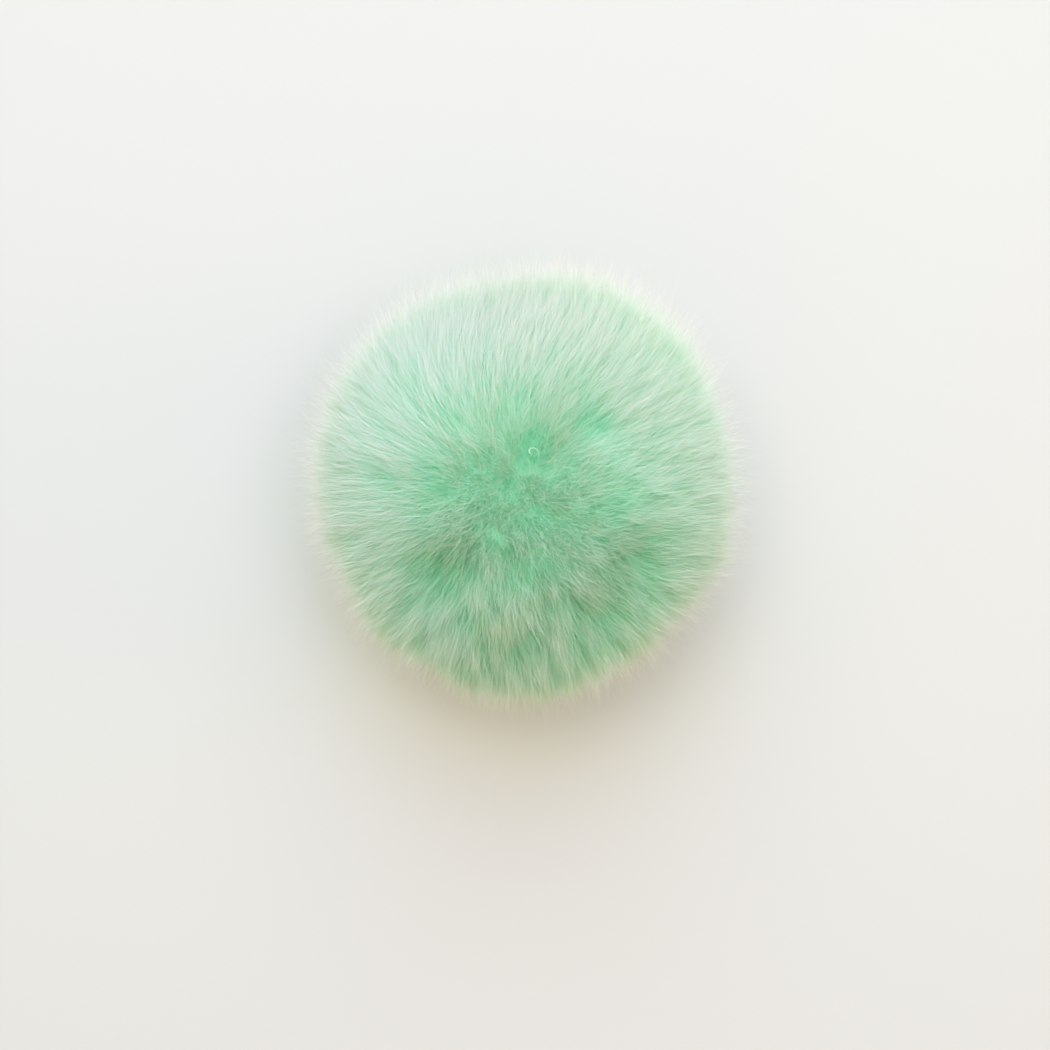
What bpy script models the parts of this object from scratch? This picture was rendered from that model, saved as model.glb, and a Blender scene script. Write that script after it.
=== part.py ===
"""A plush fur pom pom, about 80 mm across, resting on its pressed underside.

It is one solid: a dense body of pile with almost three hundred three-sided locks that stand out of it
all round, fused to it at their roots. The triangles of a ball of evenly spread points are the roots of the
locks. Each triangle is drawn out towards the outline of the pile, which is uneven: it swells and dips
where the table of swells says. Metres, +Z up. The origin is on the surface that the ball rests on, under
its middle.
"""

import math
import random
from collections import namedtuple

import bmesh
import bpy
from mathutils import Vector

# The ball, in metres
PILE_RADIUS = 0.0396  # from the ball's centre to the tips of its pile, before swells and dips
CENTRE_HEIGHT = 0.0362  # less than the radius, because the ball sinks into its own pile
BODY_SHARE = 0.79  # the dense body's radius as a share of the pile's

# The flat spot, where the pile is pressed between the body and the surface
FOOT_RADIUS = 0.0150
FOOT_SIDES = 12

# The locks
LOCK_POINTS = 143  # points of the ball outside the foot: two locks stand for each
FIRST_LOCK_ANGLE = math.radians(33)  # from straight down to the first row of points above the foot
POINT_JITTER = math.radians(3.6)  # how far a point strays from its even place
SHORTEST_LOCK = 0.0080  # of the locks under the ball, where the pile is pressed short
LEAN = 0.40  # how far a tip is combed sideways at most, as a share of the lock's length
TIP_STRAY = 0.12  # how far a single tip strays from its neighbours, as a share of the lock's length
LENGTH_SPREAD = 0.030  # a lock's reach varies by this share, longer or shorter
SPLAY_ANGLE = math.radians(78)  # from straight down: locks that would point further down splay outwards
SPLAY_SHARE = 0.28  # what is left of the angles between those locks
GROUND_GAP = 0.0002  # what stays between the lowest locks and the surface
GOLDEN_ANGLE = math.pi * (3 - math.sqrt(5))
SEED = 7

# Cross sections of a lock from root to tip: its place as a share of the length, and its width as a share
# of the root's triangle
Section = namedtuple("Section", "along width")
SECTIONS = (
    Section(along=0.00, width=0.88),
    Section(along=0.40, width=0.82),
    Section(along=0.78, width=0.58),
)

# Swells and dips of the pile's outline. Bearing is in degrees anticlockwise from +X, seen from above, and
# rise in degrees above the ball's middle. Spread is in degrees, and height in millimetres, outwards.
Swell = namedtuple("Swell", "bearing rise spread height")
SWELLS = (
    # round the widest part of the ball
    Swell(bearing=70, rise=6, spread=22, height=2.6),
    Swell(bearing=42, rise=6, spread=16, height=2.4),
    Swell(bearing=125, rise=6, spread=24, height=1.0),
    Swell(bearing=188, rise=4, spread=20, height=-1.6),
    Swell(bearing=208, rise=4, spread=9, height=-4.0),
    Swell(bearing=241, rise=4, spread=8, height=-2.6),
    Swell(bearing=298, rise=4, spread=8, height=-4.2),
    Swell(bearing=318, rise=4, spread=12, height=-2.4),
    Swell(bearing=338, rise=4, spread=14, height=0.8),
    Swell(bearing=276, rise=0, spread=12, height=0.8),
    # partings and hollows on the upper side
    Swell(bearing=227, rise=51, spread=9, height=-2.8),
    Swell(bearing=277, rise=42, spread=9, height=-2.6),
    Swell(bearing=301, rise=44, spread=8, height=-2.4),
    Swell(bearing=328, rise=49, spread=9, height=-2.6),
    Swell(bearing=47, rise=66, spread=8, height=-1.6),
    Swell(bearing=155, rise=56, spread=10, height=-1.2),
    Swell(bearing=255, rise=60, spread=14, height=1.2),
    Swell(bearing=350, rise=40, spread=16, height=0.8),
    # lower on the ball
    Swell(bearing=20, rise=-28, spread=13, height=-2.2),
    Swell(bearing=100, rise=-22, spread=10, height=-2.6),
    Swell(bearing=175, rise=-30, spread=14, height=-2.0),
)

# The combing of the pile. Each axis of its direction follows a sine wave over the ball, in radians: x, y
# and z times those of the unit vector to the place, plus the phase.
Wave = namedtuple("Wave", "x y z phase")
COMBING = (
    Wave(x=0.4, y=1.9, z=-0.6, phase=0.76),
    Wave(x=0.5, y=-1.7, z=-0.5, phase=0.58),
    Wave(x=2.6, y=-1.9, z=0.8, phase=4.20),
)

# The dyed pile
PILE_COLOUR = (0.42, 0.78, 0.57, 1.0)
PILE_ROUGHNESS = 0.95


def direction(bearing, rise):
    """The unit vector at a bearing and a rise, in radians."""
    level = math.cos(rise)
    return Vector((level * math.cos(bearing), level * math.sin(bearing), math.sin(rise)))


def reach(way):
    """How far the pile reaches from the ball's centre along a unit vector. It stays above the surface."""
    radius = PILE_RADIUS
    for swell in SWELLS:
        peak = direction(math.radians(swell.bearing), math.radians(swell.rise))
        off = way.angle(peak, 0.0) / math.radians(swell.spread)
        radius += swell.height / 1000 * math.exp(-off * off)
    if way.z < 0:
        radius = min(radius, (CENTRE_HEIGHT - GROUND_GAP) / -way.z)
    return radius


def any_vector(chance):
    """A random vector inside a cube of two units a side."""
    return Vector((chance.uniform(-1, 1), chance.uniform(-1, 1), chance.uniform(-1, 1)))


def ball_points(chance):
    """Unit vectors to the ball's points: the foot's middle and rim, then a spiral of even spacing above."""
    foot_rise = math.atan2(-CENTRE_HEIGHT, FOOT_RADIUS)
    points = [Vector((0, 0, -1))]
    points += [direction(2 * math.pi * i / FOOT_SIDES, foot_rise) for i in range(FOOT_SIDES)]
    lowest = -math.cos(FIRST_LOCK_ANGLE)
    for i in range(LOCK_POINTS):
        height = lowest + (1 - lowest) * (i + 0.5) / LOCK_POINTS
        even = direction(i * GOLDEN_ANGLE, math.asin(height))
        points.append((even + POINT_JITTER * any_vector(chance)).normalized())
    return points


def standing(way):
    """The direction in which the pile at a unit vector stands.

    It stands straight out, but for the lowest pile, which the surface below turns outwards.
    """
    angle = math.acos(max(-1.0, min(1.0, -way.z)))
    if angle > SPLAY_ANGLE:
        return way
    turned = SPLAY_ANGLE - SPLAY_SHARE * (SPLAY_ANGLE - angle)
    return direction(math.atan2(way.y, way.x), turned - math.pi / 2)


def combed(way):
    """The sideways direction, up to about one unit long, in which the pile at a unit vector is combed."""
    swirl = Vector([math.sin(way.dot(wave[:3]) + wave.phase) for wave in COMBING])
    return swirl - swirl.dot(way) * way


def add_body(mesh, centre, chance):
    """Adds the dense body: a hull over the ball's points, with its foot on the surface.

    Returns the faces that carry locks, which are all but those of the foot, in the order of their points.
    """
    verts = [mesh.verts.new(way) for way in ball_points(chance)]
    order = {vert: i for i, vert in enumerate(verts)}
    bmesh.ops.convex_hull(mesh, input=verts)
    bmesh.ops.recalc_face_normals(mesh, faces=mesh.faces)
    foot = set(verts[: FOOT_SIDES + 1])
    rooted = [face for face in mesh.faces if not foot.issuperset(face.verts)]
    rooted.sort(key=lambda face: sorted(order[vert] for vert in face.verts))
    for vert in verts:
        way = vert.co.copy()
        if vert in foot:
            radius = CENTRE_HEIGHT / -way.z
        else:
            radius = BODY_SHARE * reach(way)
        vert.co = centre + radius * way
    return rooted


def grow_lock(mesh, face, centre, chance):
    """Draws one triangle of the body out into a lock that is combed sideways and ends in a point."""
    root = face.calc_center_median()
    way = (root - centre).normalized()
    body = (root - centre).length
    length = reach(way) * (1 + chance.uniform(-LENGTH_SPREAD, LENGTH_SPREAD)) - body
    length = max(length, SHORTEST_LOCK)
    stray = TIP_STRAY * any_vector(chance)
    corners = [vert.co.copy() for vert in face.verts]

    def drawn(corner, along):
        """Where a corner of the root goes, at a share of the lock's length: it bends more near the tip."""
        out = (corner - centre).normalized()
        return corner + along * length * (standing(out) + along * LEAN * combed(out))

    def section_at(along):
        """The lock's corners and its middle at a share of its length, before it tapers."""
        places = [drawn(corner, along) for corner in corners]
        middle = sum(places, Vector()) / len(places) + along * along * length * stray
        return places, middle

    for section in SECTIONS:
        face = bmesh.ops.extrude_discrete_faces(mesh, faces=[face])["faces"][0]
        places, middle = section_at(section.along)
        for vert, place in zip(face.verts, places):
            vert.co = middle.lerp(place, section.width)
            vert.co.z = max(vert.co.z, GROUND_GAP)
    tip = bmesh.ops.extrude_discrete_faces(mesh, faces=[face])["faces"][0]
    end = section_at(1.0)[1]
    end.z = max(end.z, GROUND_GAP)
    bmesh.ops.pointmerge(mesh, verts=list(tip.verts), merge_co=end)


def pile_material():
    """Matt mint-green dyed pile."""
    material = bpy.data.materials.new("mint_pile")
    material.use_nodes = True
    shader = material.node_tree.nodes["Principled BSDF"]
    shader.inputs["Base Color"].default_value = PILE_COLOUR
    shader.inputs["Roughness"].default_value = PILE_ROUGHNESS
    shader.inputs["Metallic"].default_value = 0.0
    return material


def centred(mesh):
    """Moves the mesh sideways so that its box stands evenly round the Z axis."""
    for axis in (0, 1):
        places = [vert.co[axis] for vert in mesh.verts]
        middle = (min(places) + max(places)) / 2
        for vert in mesh.verts:
            vert.co[axis] -= middle


def make_pom_pom(collection):
    """The whole pom pom as one closed mesh."""
    chance = random.Random(SEED)
    mesh = bmesh.new()
    centre = Vector((0, 0, CENTRE_HEIGHT))
    for face in add_body(mesh, centre, chance):
        grow_lock(mesh, face, centre, chance)
    centred(mesh)
    data = bpy.data.meshes.new("pom_pom")
    mesh.to_mesh(data)
    mesh.free()
    data.materials.append(pile_material())
    pom_pom = bpy.data.objects.new("pom_pom", data)
    collection.objects.link(pom_pom)
    return pom_pom


def clear_scene():
    """Removes whatever the scene holds."""
    for old in list(bpy.data.objects):
        bpy.data.objects.remove(old, do_unlink=True)


def main():
    clear_scene()
    collection = bpy.data.collections.new("pom pom")
    bpy.context.scene.collection.children.link(collection)
    make_pom_pom(collection)


main()
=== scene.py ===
"""The looks of the plush fur pom pom: its pile as separate hairs, the surface, the light and the camera.

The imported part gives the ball's place, and its pile swells and dips where the part's does. Small hollows and
the way the pile is combed are added here. Metres, +Z up; the photograph's right is +X and its top is +Y.
"""

import math
from collections import namedtuple

import bmesh
import bpy
import numpy as np
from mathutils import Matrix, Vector
from mathutils.kdtree import KDTree


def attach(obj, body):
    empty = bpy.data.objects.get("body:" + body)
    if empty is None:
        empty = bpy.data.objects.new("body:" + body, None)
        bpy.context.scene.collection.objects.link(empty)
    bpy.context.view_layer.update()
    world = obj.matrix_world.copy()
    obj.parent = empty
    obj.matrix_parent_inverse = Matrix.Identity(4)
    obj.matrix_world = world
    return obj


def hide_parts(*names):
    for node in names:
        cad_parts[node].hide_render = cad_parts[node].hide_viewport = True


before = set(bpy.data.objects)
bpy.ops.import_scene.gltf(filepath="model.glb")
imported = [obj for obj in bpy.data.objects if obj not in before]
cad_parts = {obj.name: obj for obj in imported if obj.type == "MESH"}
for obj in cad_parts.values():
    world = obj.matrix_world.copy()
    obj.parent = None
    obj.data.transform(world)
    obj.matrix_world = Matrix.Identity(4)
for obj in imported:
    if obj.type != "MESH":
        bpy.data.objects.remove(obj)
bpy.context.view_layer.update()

NODE = "pom_pom"
SEED = 11
GOLDEN_ANGLE = math.pi * (3 - math.sqrt(5))
TINY = 1e-9  # keeps divisions away from zero
MM_PER_METRE = 1000

# ---- The ball, as in the part -------------------------------------------------------------------------

PILE_RADIUS = 0.0396  # from the ball's centre to the tips of its pile, before swells and dips
CENTRE_HEIGHT = 0.0362
FOOT_HEIGHT = 0.00001  # the part's points below this are those of its flat spot
GROUND_GAP = 0.0002  # what stays between the lowest hairs and the surface
SPLAY_ANGLE = math.radians(78)  # from straight down: hairs that would point further down splay outwards
SPLAY_SHARE = 0.28  # what is left of the angles between those hairs

# In all the patches below, bearing is in degrees anticlockwise from +X, seen from above, and rise in degrees
# above the ball's middle. Spread, in degrees too, is how far from its middle a patch has faded to about 37%.
Spot = namedtuple("Spot", "bearing rise spread")

# Swells and dips of the pile's outline. Height is in millimetres, outwards.
Swell = namedtuple("Swell", "bearing rise spread height")
SWELLS = (
    # round the widest part of the ball
    Swell(bearing=70, rise=6, spread=22, height=2.6),
    Swell(bearing=42, rise=6, spread=16, height=2.4),
    Swell(bearing=125, rise=6, spread=24, height=1.0),
    Swell(bearing=188, rise=4, spread=20, height=-1.6),
    Swell(bearing=208, rise=4, spread=9, height=-4.0),
    Swell(bearing=241, rise=4, spread=8, height=-2.6),
    Swell(bearing=298, rise=4, spread=8, height=-4.2),
    Swell(bearing=318, rise=4, spread=12, height=-2.4),
    Swell(bearing=338, rise=4, spread=14, height=0.8),
    Swell(bearing=276, rise=0, spread=12, height=0.8),
    # partings and hollows on the upper side
    Swell(bearing=227, rise=51, spread=9, height=-2.8),
    Swell(bearing=277, rise=42, spread=9, height=-2.6),
    Swell(bearing=301, rise=44, spread=8, height=-2.4),
    Swell(bearing=328, rise=49, spread=9, height=-2.6),
    Swell(bearing=47, rise=66, spread=8, height=-1.6),
    Swell(bearing=155, rise=56, spread=10, height=-1.2),
    Swell(bearing=255, rise=60, spread=14, height=1.2),
    Swell(bearing=350, rise=40, spread=16, height=0.8),
    # lower on the ball
    Swell(bearing=20, rise=-28, spread=13, height=-2.2),
    Swell(bearing=100, rise=-22, spread=10, height=-2.6),
    Swell(bearing=175, rise=-30, spread=14, height=-2.0),
)

# ---- Hollows, combing and tufts -----------------------------------------------------------------------

# Small hollows between the tufts. Depth is in millimetres; below zero the pile stands out there. part is how
# far the hairs round a hollow lean away from its middle at most, as a share of their length; below zero they
# lean over it.
Hollow = namedtuple("Hollow", "bearing rise spread depth part")
HOLLOWS = (
    # the crown, where the pile parts in all directions
    Hollow(bearing=205, rise=85, spread=38, depth=0.0, part=0.14),
    Hollow(bearing=205, rise=85, spread=10, depth=1.0, part=0.00),
    # the parting on the lower left, and its tail towards the middle
    Hollow(bearing=224, rise=54, spread=6, depth=5.0, part=0.36),
    Hollow(bearing=230, rise=63, spread=5, depth=2.6, part=0.24),
    # the ragged edge where the upper tufts end above the lower ones
    Hollow(bearing=264, rise=42, spread=7, depth=2.5, part=-0.06),
    Hollow(bearing=284, rise=54, spread=5, depth=2.1, part=0.10),
    Hollow(bearing=296, rise=42, spread=5, depth=2.0, part=-0.05),
    Hollow(bearing=309, rise=46, spread=6, depth=2.1, part=-0.06),
    Hollow(bearing=328, rise=48, spread=6, depth=1.6, part=0.02),
    Hollow(bearing=343, rise=63, spread=4, depth=1.8, part=0.12),
    # where the outline stands out a little further than the solid's locks
    Hollow(bearing=150, rise=4, spread=24, depth=-1.2, part=0.00),
    Hollow(bearing=180, rise=4, spread=14, depth=-0.8, part=0.00),
    Hollow(bearing=10, rise=4, spread=16, depth=-0.7, part=0.00),
    Hollow(bearing=262, rise=2, spread=16, depth=-0.8, part=0.00),
    Hollow(bearing=302, rise=2, spread=13, depth=-2.2, part=0.00),
    # short partings round the crown
    Hollow(bearing=262, rise=67, spread=4, depth=1.8, part=0.15),
    Hollow(bearing=282, rise=69, spread=4, depth=1.6, part=0.12),
    Hollow(bearing=71, rise=79, spread=4, depth=3.0, part=0.26),
    Hollow(bearing=50, rise=68, spread=3, depth=2.8, part=0.28),
    Hollow(bearing=41, rise=64, spread=4, depth=2.8, part=0.28),
    Hollow(bearing=172, rise=66, spread=4, depth=1.4, part=0.15),
)
PART_PEAK = math.sqrt(2 * math.e)  # makes the greatest lean round a hollow one

# How the pile is combed: the lean at a patch's middle towards +X, +Y and +Z, as a share of the hairs' length
Comb = namedtuple("Comb", "bearing rise spread x y z")
COMBS = (
    Comb(bearing=90, rise=40, spread=50, x=0.02, y=0.30, z=-0.10),
    Comb(bearing=118, rise=42, spread=25, x=0.20, y=0.05, z=0.00),
    Comb(bearing=326, rise=25, spread=25, x=0.10, y=0.36, z=0.00),
    Comb(bearing=215, rise=35, spread=20, x=-0.12, y=0.18, z=0.00),
    Comb(bearing=262, rise=48, spread=20, x=0.00, y=-0.30, z=-0.05),
    Comb(bearing=20, rise=30, spread=25, x=0.10, y=-0.05, z=0.00),
    Comb(bearing=0, rise=90, spread=40, x=0.12, y=0.03, z=0.00),
)

# What varies the combing a little: each axis follows a sine wave over the ball, in radians: x, y and z
# times those of the unit vector to the place, plus the phase.
Wave = namedtuple("Wave", "x y z phase")
WAVES = (
    Wave(x=2.4, y=3.9, z=-2.6, phase=0.76),
    Wave(x=3.5, y=-2.7, z=-1.5, phase=0.58),
    Wave(x=3.6, y=-2.9, z=2.8, phase=4.20),
)
WAVE_LEAN = 0.12  # the greatest lean that a wave gives, as a share of the hairs' length

CROWN = Spot(bearing=205, rise=85, spread=40)
CROWN_TANGLE = 1.2  # how much more the hairs of the crown stray
TUFTED_SIDE = Spot(bearing=268, rise=25, spread=62)  # where the tufts stand out most
TUFTED_ELSEWHERE = 0.22  # how much they stand out on the rest of the ball, beside that
CALM_SIDE = Spot(bearing=105, rise=38, spread=52)  # where the pile is smoothest
CALM = 0.75  # how much less the wisps differ and draw together there
CALM_PAINTED_LIGHT = 0.30  # how much further towards the roots the colour of the tips reaches there: painted light on the side that faces the main lights

# ---- Tufts, wisps and hairs ---------------------------------------------------------------------------

CORE_SHARE = 0.79  # radius of the dense middle of the pile, as a share of the pile's
CORE_SUBDIVISIONS = 6
CORE_UNEVEN = 0.003  # how rough the core is, as a share of its radius

LUMPS = 420  # tufts
LUMP_JITTER = 0.25  # how far each strays from an even spread, in spacings
LUMP_EDGE = 0.62  # where a tuft ends, in spacings from its middle
LUMP_DEPTH = 0.092  # how much shorter the hairs between two tufts are, as a share of the radius
LUMP_TIP = 0.97  # how high a tuft's tip is, as a share of the radius
LUMP_LEAN = 0.22  # how far its tip follows the combing, as a share of the radius

WISPS = 14000  # bunches of hairs whose tips lie together
WISP_JITTER = 0.5  # how far each strays from an even spread, in spacings
WISP_SPREAD = 0.75  # how far from its middle its hairs root, in spacings
WISP_BEND = 0.16  # how far the wisps lean from the combing, as a share of their length
WISP_LENGTH = 0.26  # how long the free part of a wisp is, as a share of the radius
WISP_TIP = 0.99  # how high a wisp's tip is, as a share of the radius
WISP_LONGER = 0.009  # how unequal the wisps are, as a share of the radius
WISP_SHADE = 0.06  # how unequal their dye is, on a scale from 0 to 1

# A layer of hairs: where they root and end as shares of the pile's radius, how unequal their ends are, how
# wide they are in millimetres, how far they stray as a share of their length, and how much their tips draw
# together in wisps and in tufts
HAIRS = 62000  # in each layer
Layer = namedtuple("Layer", "name root end uneven width stray bunch tuft")
LAYERS = (
    Layer("pile_a", root=0.77, end=0.930, uneven=0.030, width=0.060, stray=0.24, bunch=0.20, tuft=0.60),
    Layer("pile_b", root=0.77, end=0.955, uneven=0.030, width=0.050, stray=0.22, bunch=0.20, tuft=0.60),
    Layer("pile_c", root=0.77, end=0.985, uneven=0.040, width=0.045, stray=0.22, bunch=0.20, tuft=0.60),
    Layer("pile_d", root=0.78, end=1.010, uneven=0.058, width=0.034, stray=0.24, bunch=0.14, tuft=0.50),
    Layer("pile_e", root=0.79, end=1.045, uneven=0.085, width=0.021, stray=0.28, bunch=0.06, tuft=0.20),
)
LONGEST = 1.17  # how far a hair may reach, as a share of the pile's radius
SHORTEST = 0.004  # the least length of a hair, before it leans
SHORN = 0.45  # how much less unequal the hairs' ends are where the tufts stand out most
LOWEST_ROOT = 0.0005  # hairs that would root lower than this are left out
ROOT_LIFT = 0.0003  # what a root keeps from the surface beside the gap
THINNEST, THICKEST = 0.75, 1.15  # a layer's hairs, as shares of its width
STEEP = 0.9  # the sine of the rise from which on a hair counts as upright
BUNCH_POWER = 1.4  # how late along their length hairs draw together

# A hair has three points: its root, its bend and its tip. Each corner of it stands at one of them, on one
# side of it, this share of the hair's half width away.
BEND_AT = 0.55  # as a share of its length
Corner = namedtuple("Corner", "point side width")
CORNERS = (
    Corner(point=0, side=-1, width=0.7),
    Corner(point=0, side=1, width=0.7),
    Corner(point=1, side=-1, width=1.0),
    Corner(point=1, side=1, width=1.0),
    Corner(point=2, side=0, width=0.0),
)
HAIR_FACES = ((0, 1, 3), (0, 3, 2), (2, 3, 4))

# One stray fibre that curls over the crown, in metres where nothing else is said
CURL_BEARING, CURL_RISE = 71, 80.5  # degrees
CURL_RADIUS = 0.0010
CURL_THICKNESS = 0.00010
CURL_TURNS = 0.78
CURL_START = 0.9 * math.pi  # the angle at which it starts
CURL_NARROWS = 0.35  # how much narrower its loop gets, as a share of its radius
CURL_HEIGHT = 0.99  # how high it lies, as a share of the pile's reach
CURL_TILT = 0.0006  # how far its loop rises and falls
CURL_ROOT = 0.0030  # how much lower its root is
CURL_ROOT_POWER = 4  # how suddenly it comes up from there
CURL_TAPER = 0.25  # the share of its length that tapers to its end
CURL_POINTS = 36
CURL_SIDES = 6

# ---- Colours ------------------------------------------------------------------------------------------

# The map gives each place on a hair two numbers from 0 to 1: the hair's shade and the height in the pile
BAKE_MAP = "OFBake"
MAP_EDGE = 0.01  # what the map keeps clear at its edges
MAP_HALF_WIDTH = 0.004  # of a hair
SHADE_EDGE = 0.01  # a shade keeps this far from 0 and from 1
ALONG_SHARE = 0.1  # how much of the height in the pile follows the place along the hair itself

MEAN_SHADE = 0.55
HAIR_SHADE = 0.10  # how unequal single hairs are, beside their wisps

# Painted light and shade: patches where the pile is painted brighter on its upper side, which faces the
# lights, and duller on the side away from them, at the crown and in the hollows; by how much at a patch's
# middle, on a scale from 0 to 1
Tint = namedtuple("Tint", "bearing rise spread shade")
PAINTED_LIGHT_AND_SHADE = (
    # painted shade low on the ball, at its lower rim and at the crown, and painted light on its upper side
    Tint(bearing=275, rise=25, spread=45, shade=-0.20),
    Tint(bearing=330, rise=10, spread=30, shade=-0.14),
    Tint(bearing=205, rise=85, spread=16, shade=-0.30),
    Tint(bearing=230, rise=20, spread=30, shade=-0.12),
    Tint(bearing=100, rise=66, spread=26, shade=0.20),
    Tint(bearing=137, rise=42, spread=28, shade=0.26),
    Tint(bearing=5, rise=62, spread=14, shade=0.24),
    # painted shade in the hollows, the partings and along the edge of the upper tufts
    Tint(bearing=224, rise=56, spread=8, shade=-0.52),
    Tint(bearing=229, rise=64, spread=5, shade=-0.30),
    Tint(bearing=265, rise=45, spread=8, shade=-0.36),
    Tint(bearing=284, rise=57, spread=7, shade=-0.28),
    Tint(bearing=309, rise=49, spread=7, shade=-0.30),
    Tint(bearing=329, rise=51, spread=7, shade=-0.42),
    Tint(bearing=342, rise=66, spread=5, shade=-0.12),
    Tint(bearing=262, rise=68, spread=5, shade=-0.25),
    Tint(bearing=47, rise=68, spread=5, shade=-0.25),
    Tint(bearing=71, rise=80, spread=5, shade=-0.30),
)
LOW_PAINTED_SHADE = -0.30  # painted shade: how much duller the pile is painted low on the ball
LOW_PAINTED_DEPTH = 0.24  # and how much further towards the tips the deeper colour of its roots reaches there, as more painted shade
LOW_RISE = 15  # where half of that is reached, in degrees above the ball's middle
LOW_BLEND = 5  # and over how many degrees it comes in

Stop = namedtuple("Stop", "place red green blue")
# The colour by height in the pile: deep green low down and pale towards the tips. This is partly the pile's
# own colour and partly painted shade, since hairs deep in the pile and in its hollows take the deeper green
FUR_BY_HEIGHT = (
    Stop(0.20, red=0.33, green=0.88, blue=0.57),
    Stop(0.42, red=0.60, green=0.86, blue=0.69),
    Stop(0.58, red=0.76, green=0.83, blue=0.78),
    Stop(0.74, red=0.50, green=0.72, blue=0.59),
)
FUR_BY_SHADE = (  # what the colour by height is multiplied by, from the dullest hairs to the brightest; a hair's shade is partly its own random tone and partly painted light and shade
    Stop(0.0, red=0.75, green=0.70, blue=0.58),
    Stop(1.0, red=1.11, green=1.02, blue=1.09),
)
FUR_ROUGHNESS = 0.75
FUR_SPECULAR = 0.1
CORE_BY_NOISE = (
    Stop(0.35, red=0.20, green=0.64, blue=0.39),
    Stop(0.70, red=0.26, green=0.72, blue=0.45),
)
CORE_MOTTLE = 900  # how many of the noise's cells, which mottle the core, go into a metre
CORE_MOTTLE_DETAIL = 3
CORE_ROUGHNESS = 0.9
CURL_SHADE = 0.60
CURL_ROOT_COLOUR, CURL_END_COLOUR = 0.25, 0.57  # as heights in the pile
FLOOR_COLOUR = (0.424, 0.472, 0.428, 1)
FLOOR_ROUGHNESS = 0.8
FLOOR_HALF = 3.0  # half its width, in metres
ROOM_COLOUR = (0.70, 0.56, 0.38, 1)
ROOM_STRENGTH = 1.0

# ---- Light and camera ---------------------------------------------------------------------------------

PHOTO_WIDTH = 1050  # pixels
PIXELS_PER_METRE = 5350  # of the photograph, at the height of the ball's widest part
BALL_AT = (522, 492)  # the pixel of the ball's centre
LENS_MM = 50
SENSOR_MM = 36

# Round soft lights, all at the same distance from the ball: where each stands in degrees, how wide it is in
# metres, its power and its colour
LIGHT_DISTANCE = 0.9
Light = namedtuple("Light", "name bearing rise size watts red green blue")
LIGHTS = (
    Light("window", bearing=90, rise=20, size=1.20, watts=4.3, red=0.41, green=1.00, blue=0.94),
    Light("wide_sky", bearing=90, rise=65, size=1.20, watts=9.5, red=0.72, green=0.56, blue=1.00),
    Light("sky", bearing=90, rise=65, size=0.45, watts=3.7, red=0.28, green=0.51, blue=1.00),
    Light("lamp", bearing=135, rise=78, size=0.45, watts=3.3, red=1.00, green=0.90, blue=0.51),
    Light("right_lamp", bearing=0, rise=78, size=0.45, watts=2.1, red=1.00, green=0.93, blue=0.99),
    Light("low_lamp", bearing=0, rise=15, size=0.45, watts=2.6, red=1.00, green=0.56, blue=0.25),
)

# ---- Directions and places ----------------------------------------------------------------------------


def bell(chance, shape):
    """Random numbers round 0 that lie mostly within 1 and never beyond 2."""
    return np.clip(chance.normal(0, 1, shape), -2, 2)


def unit(vectors):
    """The vectors, one unit long."""
    return vectors / np.linalg.norm(vectors, axis=-1, keepdims=True)


def direction(bearing, rise):
    """Unit vectors at a bearing and a rise, in radians."""
    level = np.cos(rise)
    return np.stack([level * np.cos(bearing), level * np.sin(bearing), np.sin(rise) + 0 * bearing], axis=-1)


def dot(a, b):
    """The dot products of vectors, each as a list of one number."""
    return np.sum(a * b, axis=-1, keepdims=True)


def from_peak(ways, spot):
    """How far unit vectors are from a spot's middle, in its spreads, and the directions away from it."""
    peak = direction(np.radians(spot.bearing), np.radians(spot.rise))
    cosine = ways @ peak
    off = np.arccos(np.clip(cosine, -1, 1)) / np.radians(spot.spread)
    away = ways - cosine[:, None] * peak
    return off, away / np.maximum(np.linalg.norm(away, axis=1, keepdims=True), TINY)


def nearness(ways, spot):
    """How much of a spot's effect unit vectors get: 1 in its middle, and less and less away from it."""
    off = from_peak(ways, spot)[0]
    return np.exp(-off * off)


def even_ways(count, chance, jitter):
    """Unit vectors spread evenly over the whole ball on a spiral, each strayed by up to jitter spacings."""
    i = np.arange(count)
    height = -1 + 2 * (i + 0.5) / count
    ways = direction(i * GOLDEN_ANGLE, np.arcsin(height))
    return unit(ways + jitter * spacing(count) * chance.uniform(-1, 1, (count, 3)))


def spacing(count):
    """How far apart that many points are when they lie evenly on a ball of radius one."""
    return math.sqrt(4 * math.pi / count)


def kd_tree(points):
    """What finds the nearest of the points quickly."""
    tree = KDTree(len(points))
    for i, point in enumerate(points):
        tree.insert(point, i)
    tree.balance()
    return tree


def middle_of_ball():
    """The ball's centre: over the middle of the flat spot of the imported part."""
    places = np.array([vert.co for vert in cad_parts[NODE].data.vertices])
    foot = places[places[:, 2] < FOOT_HEIGHT]
    low, high = foot.min(axis=0), foot.max(axis=0)
    return np.array([(low[0] + high[0]) / 2, (low[1] + high[1]) / 2, CENTRE_HEIGHT])


# ---- How the pile lies --------------------------------------------------------------------------------


def reach(ways, hollows=HOLLOWS):
    """How far the pile reaches from the ball's centre along unit vectors. It stays above the surface."""
    radius = np.full(len(ways), PILE_RADIUS)
    for swell in SWELLS:
        radius += swell.height / MM_PER_METRE * nearness(ways, swell)
    for hollow in hollows:
        radius -= hollow.depth / MM_PER_METRE * nearness(ways, hollow)
    down = np.maximum(-ways[:, 2], TINY)
    floor = np.where(ways[:, 2] < 0, (CENTRE_HEIGHT - GROUND_GAP) / down, np.inf)
    return np.minimum(radius, floor)


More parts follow.
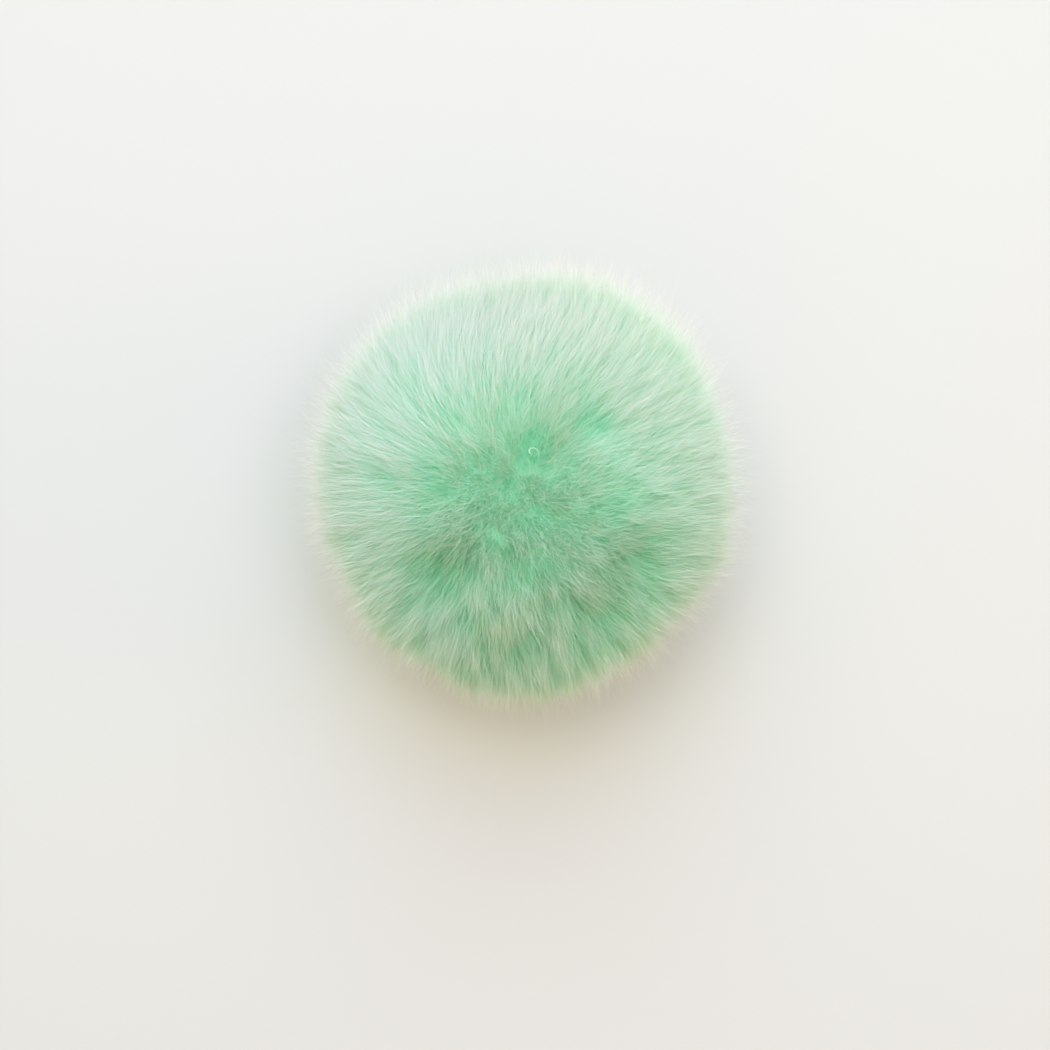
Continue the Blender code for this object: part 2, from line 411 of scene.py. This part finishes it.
def standing(ways):
    """The directions in which the pile at unit vectors stands: straight out, or splayed near the surface."""
    angle = np.arccos(np.clip(-ways[:, 2], -1, 1))
    turned = np.where(angle < SPLAY_ANGLE, SPLAY_ANGLE - SPLAY_SHARE * (SPLAY_ANGLE - angle), angle)
    return direction(np.arctan2(ways[:, 1], ways[:, 0]), turned - math.pi / 2)


def combed(ways):
    """How far the pile at unit vectors leans sideways at its tips, as a share of its length."""
    lean = WAVE_LEAN * np.stack([np.sin(ways @ np.array(wave[:3]) + wave.phase) for wave in WAVES], axis=-1)
    for comb in COMBS:
        lean += nearness(ways, comb)[:, None] * np.array([comb.x, comb.y, comb.z])
    for hollow in HOLLOWS:
        off, away = from_peak(ways, hollow)
        lean += (hollow.part * PART_PEAK * off * np.exp(-off * off))[:, None] * away
    return lean - dot(lean, ways) * ways


Lumps = namedtuple("Lumps", "tip tree")
Wisps = namedtuple("Wisps", "ways lump bend longer shade tip")


def make_lumps(chance):
    """The tufts: their tips, from the ball's centre, and what finds the nearest one."""
    ways = even_ways(LUMPS, chance, LUMP_JITTER)
    tip = (LUMP_TIP * reach(ways))[:, None] * unit(ways + LUMP_LEAN * combed(ways))
    return Lumps(tip, kd_tree(ways))


def off_lump(ways, lumps):
    """How far each unit vector is from the middle of its tuft: 0 in its middle and 1 at its edge."""
    off = np.array([lumps.tree.find(way)[2] for way in ways])
    return np.clip(off / (LUMP_EDGE * spacing(LUMPS)), 0, 1) ** 2


def make_wisps(lumps, chance):
    """The wisps: where they stand, the tuft of each, how they differ, and their tips from the centre."""
    ways = even_ways(WISPS, chance, WISP_JITTER)
    lump = np.array([lumps.tree.find(way)[1] for way in ways])
    bend = WISP_BEND * bell(chance, (WISPS, 3))
    tip = (WISP_TIP * reach(ways))[:, None] * ways + WISP_LENGTH * PILE_RADIUS * (combed(ways) + bend)
    longer = WISP_LONGER * bell(chance, WISPS)
    shade = WISP_SHADE * bell(chance, WISPS)
    return Wisps(ways, lump, bend, longer, shade, tip)


# ---- Hairs --------------------------------------------------------------------------------------------

Hairs = namedtuple("Hairs", "lines heights widths shades turns")


def rooted(layer, wisps, centre, chance):
    """For each hair of a layer, the number of its wisp and the unit vector at which it roots."""
    wisp = chance.integers(0, WISPS, HAIRS)
    astray = WISP_SPREAD * spacing(WISPS) * chance.uniform(-1, 1, (HAIRS, 3))
    ways = unit(wisps.ways[wisp] + astray)
    keep = centre[2] + layer.root * reach(ways) * ways[:, 2] > LOWEST_ROOT
    return wisp[keep], ways[keep]


def with_painted_light(shades, tips, low):
    """The hairs' shades, with painted light and shade added in patches, and painted shade low on the ball."""
    for patch in PAINTED_LIGHT_AND_SHADE:
        shades = shades + patch.shade * nearness(tips, patch)
    return np.clip(shades + LOW_PAINTED_SHADE * low, SHADE_EDGE, 1 - SHADE_EDGE)


def grow(layer, wisps, lumps, centre, chance):
    """A layer's hairs: each one's three points, their heights in the pile, and its width, shade and turn."""
    wisp, ways = rooted(layer, wisps, centre, chance)
    count = len(ways)
    full = reach(ways)
    roots = centre + layer.root * full[:, None] * ways
    wild = 1 - CALM * nearness(ways, CALM_SIDE)
    tufted = TUFTED_ELSEWHERE + (1 - TUFTED_ELSEWHERE) * nearness(ways, TUFTED_SIDE)

    share = layer.end - LUMP_DEPTH * tufted * off_lump(ways, lumps)
    share = share + layer.uneven * (1 - SHORN * tufted) * bell(chance, count) + wild * wisps.longer[wisp]
    length = np.maximum((np.minimum(share, LONGEST) - layer.root) * full, SHORTEST)

    stand = standing(ways)
    stray = layer.stray * (1 + CROWN_TANGLE * nearness(ways, CROWN)) * (1 + wild) / 2
    lean = combed(ways) + wild[:, None] * wisps.bend[wisp] + stray[:, None] * bell(chance, (count, 3))
    lean = lean - dot(lean, stand) * stand

    smooth = reach(ways, ())
    wisp_tip = centre + wisps.tip[wisp]
    lump_tip = centre + lumps.tip[wisps.lump[wisp]]
    lines, heights = [], []
    for t in (0.0, BEND_AT, 1.0):
        place = roots + (length * t)[:, None] * (stand + t * lean)
        for goal, pull in ((wisp_tip, layer.bunch * wild), (lump_tip, layer.tuft * tufted)):
            way = roots + t * (goal - roots) - place
            place = place + t ** BUNCH_POWER * pull[:, None] * (way - dot(way, stand) * stand)
        place[:, 2] = np.maximum(place[:, 2], GROUND_GAP + ROOT_LIFT * (1 - t))
        lines.append(place)
        # The height in the pile, measured from the ball's centre, picks the colour, so hairs deep in the pile
        # and in its hollows get the deeper green: partly painted shade
        height = (np.linalg.norm(place - centre, axis=1) / smooth - CORE_SHARE) / (LONGEST - CORE_SHARE)
        heights.append(np.clip(height, 0, 1) * (1 - ALONG_SHARE) + ALONG_SHARE * t)
    lines, heights = np.stack(lines, axis=1), np.stack(heights, axis=1)

    tips = unit(lines[:, -1] - centre)
    low = 1 / (1 + np.exp((np.degrees(np.arcsin(tips[:, 2])) - LOW_RISE) / LOW_BLEND))
    # Painted shade low on the ball and painted light on the calm side, by moving where on the colour by height
    # each hair lies
    heights = heights * (1 - LOW_PAINTED_DEPTH * low)[:, None]
    heights = np.minimum(heights * (1 + CALM_PAINTED_LIGHT * (1 - wild))[:, None], 1)
    widths = layer.width / MM_PER_METRE * chance.uniform(THINNEST, THICKEST, count)
    shades = MEAN_SHADE + wild * (HAIR_SHADE * bell(chance, count) + wisps.shade[wisp])
    turns = chance.uniform(0, math.pi, count)
    return Hairs(lines, heights, widths, with_painted_light(shades, tips, low), turns)


def hair_mesh(name, hairs):
    """One mesh of hairs, each a thin flat ribbon that is widest at its bend and tapers to a point."""
    along = unit(hairs.lines[:, -1] - hairs.lines[:, 0])
    helper = np.where(np.abs(along[:, 2:3]) < STEEP, [[0.0, 0.0, 1.0]], [[1.0, 0.0, 0.0]])
    side = unit(np.cross(along, helper))
    other = np.cross(along, side)
    half = np.cos(hairs.turns)[:, None] * side + np.sin(hairs.turns)[:, None] * other
    half = half * hairs.widths[:, None] / 2
    points = [corner.point for corner in CORNERS]
    sides = np.array([corner.side for corner in CORNERS])
    offsets = sides * np.array([corner.width for corner in CORNERS])
    verts = hairs.lines[:, points] + offsets[None, :, None] * half[:, None]

    firsts = np.arange(len(verts)) * len(CORNERS)
    loops = (firsts[:, None, None] + np.array(HAIR_FACES)).ravel()
    triangles = len(loops) // 3
    mesh = bpy.data.meshes.new(name)
    mesh.vertices.add(len(verts) * len(CORNERS))
    mesh.vertices.foreach_set("co", verts.astype(np.float32).ravel())
    mesh.loops.add(len(loops))
    mesh.loops.foreach_set("vertex_index", loops.astype(np.int32))
    mesh.polygons.add(triangles)
    mesh.polygons.foreach_set("loop_start", (np.arange(triangles) * 3).astype(np.int32))

    across_map = (hairs.shades[:, None] + MAP_HALF_WIDTH * sides).ravel()[loops]
    along_map = hairs.heights[:, points].ravel()[loops]
    places = MAP_EDGE + (1 - 2 * MAP_EDGE) * np.stack([across_map, along_map], axis=-1)
    mesh.uv_layers.new(name=BAKE_MAP).uv.foreach_set("vector", places.astype(np.float32).ravel())
    mesh.update()
    mesh.validate()
    return mesh


# ---- The core and the curl ----------------------------------------------------------------------------


def make_core(centre, chance):
    """The dense middle of the pile: a closed ball that fills the gaps between the roots."""
    mesh = bmesh.new()
    bmesh.ops.create_icosphere(mesh, subdivisions=CORE_SUBDIVISIONS, radius=1)
    ways = unit(np.array([vert.co for vert in mesh.verts]))
    rough = 1 + CORE_UNEVEN * bell(chance, len(ways))
    places = centre + (CORE_SHARE * reach(ways) * rough)[:, None] * ways
    places[:, 2] = np.maximum(places[:, 2], GROUND_GAP)
    for vert, place in zip(mesh.verts, places):
        vert.co = place
    data = bpy.data.meshes.new("pile_core")
    mesh.to_mesh(data)
    mesh.free()
    return data


def curl_path(t, centre):
    """The places along the curled fibre, and the direction out of the ball there."""
    out = direction(np.radians(CURL_BEARING), np.radians(CURL_RISE))
    east = unit(np.cross([0.0, 0.0, 1.0], out))
    north = np.cross(out, east)
    angle = 2 * math.pi * CURL_TURNS * t + CURL_START
    wide = CURL_RADIUS * (1 - CURL_NARROWS * t)
    lift = CURL_TILT * np.sin(angle) - CURL_ROOT * (1 - t) ** CURL_ROOT_POWER
    path = (wide * np.cos(angle))[:, None] * east + (wide * np.sin(angle))[:, None] * north
    return path + centre + (CURL_HEIGHT * reach(out[None])[0] + lift)[:, None] * out, out


def make_curl(centre):
    """The curled fibre: a thin closed tube along a spiral that comes up out of the pile."""
    t = np.linspace(0, 1, CURL_POINTS)
    path, out = curl_path(t, centre)
    along = unit(np.gradient(path, axis=0))
    side = unit(np.cross(along, out))
    over = np.cross(side, along)
    turns = 2 * math.pi * np.arange(CURL_SIDES) / CURL_SIDES
    thick = CURL_THICKNESS / 2 * np.sqrt(np.clip((1 - t) / CURL_TAPER, 0, 1))
    ring = np.cos(turns)[None, :, None] * side[:, None] + np.sin(turns)[None, :, None] * over[:, None]
    verts = (path[:, None] + thick[:, None, None] * ring)[:-1].reshape(-1, 3)
    verts = [tuple(vert) for vert in verts] + [tuple(path[0]), tuple(path[-1])]

    faces = []
    for i in range(CURL_POINTS - 2):
        for j in range(CURL_SIDES):
            a, b = i * CURL_SIDES + j, i * CURL_SIDES + (j + 1) % CURL_SIDES
            faces.append((a, b, b + CURL_SIDES, a + CURL_SIDES))
    first, last = len(verts) - 2, len(verts) - 1
    end = (CURL_POINTS - 2) * CURL_SIDES
    for j in range(CURL_SIDES):
        k = (j + 1) % CURL_SIDES
        faces.append((first, k, j))
        faces.append((last, end + j, end + k))

    data = bpy.data.meshes.new("curled_fibre")
    data.from_pydata(verts, [], faces)
    spots = data.uv_layers.new(name=BAKE_MAP).uv
    for loop in data.loops:
        step = min(loop.vertex_index // CURL_SIDES, CURL_POINTS - 1)
        across_map = CURL_SHADE + MAP_HALF_WIDTH * (loop.vertex_index % CURL_SIDES)
        along_map = CURL_ROOT_COLOUR + (CURL_END_COLOUR - CURL_ROOT_COLOUR) * step / CURL_POINTS
        spots[loop.index].vector = (across_map, along_map)
    data.update()
    return data


# ---- Materials ----------------------------------------------------------------------------------------


def new_material(name):
    """A material with its nodes, the links between them, and its shader."""
    material = bpy.data.materials.new(name)
    material.use_nodes = True
    tree = material.node_tree
    return material, tree.nodes, tree.links, tree.nodes["Principled BSDF"]


def add_ramp(nodes, stops):
    """A colour ramp with these stops."""
    ramp = nodes.new("ShaderNodeValToRGB")
    elements = ramp.color_ramp.elements
    elements[0].position = stops[0].place
    elements[1].position = stops[-1].place
    for stop in stops[1:-1]:
        elements.new(stop.place)
    for element, stop in zip(elements, stops):
        element.color = (stop.red, stop.green, stop.blue, 1)
    return ramp


def fur_material():
    """Dyed pile: deep green at the root and pale at the tip, partly as painted shade deep in the pile; each
    hair is duller or brighter by its shade, which is partly its own random tone and partly painted light and
    shade.
    """
    material, nodes, links, shader = new_material("fur")
    spot = nodes.new("ShaderNodeUVMap")
    spot.uv_map = BAKE_MAP
    split = nodes.new("ShaderNodeSeparateXYZ")
    by_height = add_ramp(nodes, FUR_BY_HEIGHT)
    by_shade = add_ramp(nodes, FUR_BY_SHADE)
    colour = nodes.new("ShaderNodeVectorMath")
    colour.operation = "MULTIPLY"
    links.new(spot.outputs["UV"], split.inputs[0])
    links.new(split.outputs["Y"], by_height.inputs["Fac"])
    links.new(split.outputs["X"], by_shade.inputs["Fac"])
    links.new(by_height.outputs["Color"], colour.inputs[0])
    links.new(by_shade.outputs["Color"], colour.inputs[1])
    links.new(colour.outputs["Vector"], shader.inputs["Base Color"])
    shader.inputs["Roughness"].default_value = FUR_ROUGHNESS
    shader.inputs["Specular IOR Level"].default_value = FUR_SPECULAR
    return material


def core_material():
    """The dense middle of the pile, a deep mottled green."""
    material, nodes, links, shader = new_material("packed_pile")
    place = nodes.new("ShaderNodeTexCoord")
    noise = nodes.new("ShaderNodeTexNoise")
    noise.inputs["Scale"].default_value = CORE_MOTTLE
    noise.inputs["Detail"].default_value = CORE_MOTTLE_DETAIL
    ramp = add_ramp(nodes, CORE_BY_NOISE)
    links.new(place.outputs["Object"], noise.inputs["Vector"])
    links.new(noise.outputs["Fac"], ramp.inputs["Fac"])
    links.new(ramp.outputs["Color"], shader.inputs["Base Color"])
    shader.inputs["Roughness"].default_value = CORE_ROUGHNESS
    return material


def floor_material():
    """The pale surface."""
    material, _, _, shader = new_material("pale_surface")
    shader.inputs["Base Color"].default_value = FLOOR_COLOUR
    shader.inputs["Roughness"].default_value = FLOOR_ROUGHNESS
    return material


# ---- The scene ----------------------------------------------------------------------------------------


def add_object(name, data):
    """A new object in the scene."""
    thing = bpy.data.objects.new(name, data)
    bpy.context.scene.collection.objects.link(thing)
    return thing


def add_piece(name, mesh, material):
    """A piece of the object, which rides with the part and stands for its solid."""
    mesh.materials.append(material)
    piece = add_object(name, mesh)
    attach(piece, "root")
    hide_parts(NODE)
    return piece


def add_floor():
    """The surface that the ball lies on."""
    mesh = bpy.data.meshes.new("floor")
    corners = [(x * FLOOR_HALF, y * FLOOR_HALF, 0) for x, y in ((-1, -1), (1, -1), (1, 1), (-1, 1))]
    mesh.from_pydata(corners, [], [(0, 1, 2, 3)])
    mesh.materials.append(floor_material())
    add_object("floor", mesh)


def add_light(light, centre):
    """A round soft light that looks at the ball."""
    data = bpy.data.lights.new(light.name, "AREA")
    data.shape = "DISK"
    data.size = light.size
    data.energy = light.watts
    data.color = (light.red, light.green, light.blue)
    way = Vector(direction(np.radians(light.bearing), np.radians(light.rise)))
    lamp = add_object(light.name, data)
    lamp.location = Vector(centre) + LIGHT_DISTANCE * way
    lamp.rotation_euler = (-way).to_track_quat("-Z", "Y").to_euler()


def add_lights(centre):
    """The soft light of the room and its lamps."""
    world = bpy.data.worlds.new("world")
    world.use_nodes = True
    background = world.node_tree.nodes["Background"]
    background.inputs["Color"].default_value = ROOM_COLOUR
    background.inputs["Strength"].default_value = ROOM_STRENGTH
    bpy.context.scene.world = world
    for light in LIGHTS:
        add_light(light, centre)


def add_camera(centre):
    """A camera straight above, which sees as much round the ball as the photograph shows."""
    data = bpy.data.cameras.new("camera")
    data.lens = LENS_MM
    data.sensor_width = SENSOR_MM
    camera = add_object("camera", data)
    away = PHOTO_WIDTH / PIXELS_PER_METRE * LENS_MM / SENSOR_MM
    half = PHOTO_WIDTH / 2
    x = centre[0] - (BALL_AT[0] - half) / PIXELS_PER_METRE
    y = centre[1] + (BALL_AT[1] - half) / PIXELS_PER_METRE
    camera.location = (x, y, centre[2] + away)
    bpy.context.scene.camera = camera


def main():
    """Build the scene."""
    centre = middle_of_ball()
    add_camera(centre)
    add_lights(centre)
    add_floor()
    chance = np.random.default_rng(SEED)
    lumps = make_lumps(chance)
    wisps = make_wisps(lumps, chance)
    core = add_piece("pile_core", make_core(centre, chance), core_material())
    fur = fur_material()
    for layer in LAYERS:
        hairs = grow(layer, wisps, lumps, centre, chance)
        add_piece(layer.name, hair_mesh(layer.name, hairs), fur)
    add_piece("curled_fibre", make_curl(centre), fur)
    bpy.context.scene.view_settings.view_transform = "Standard"


main()
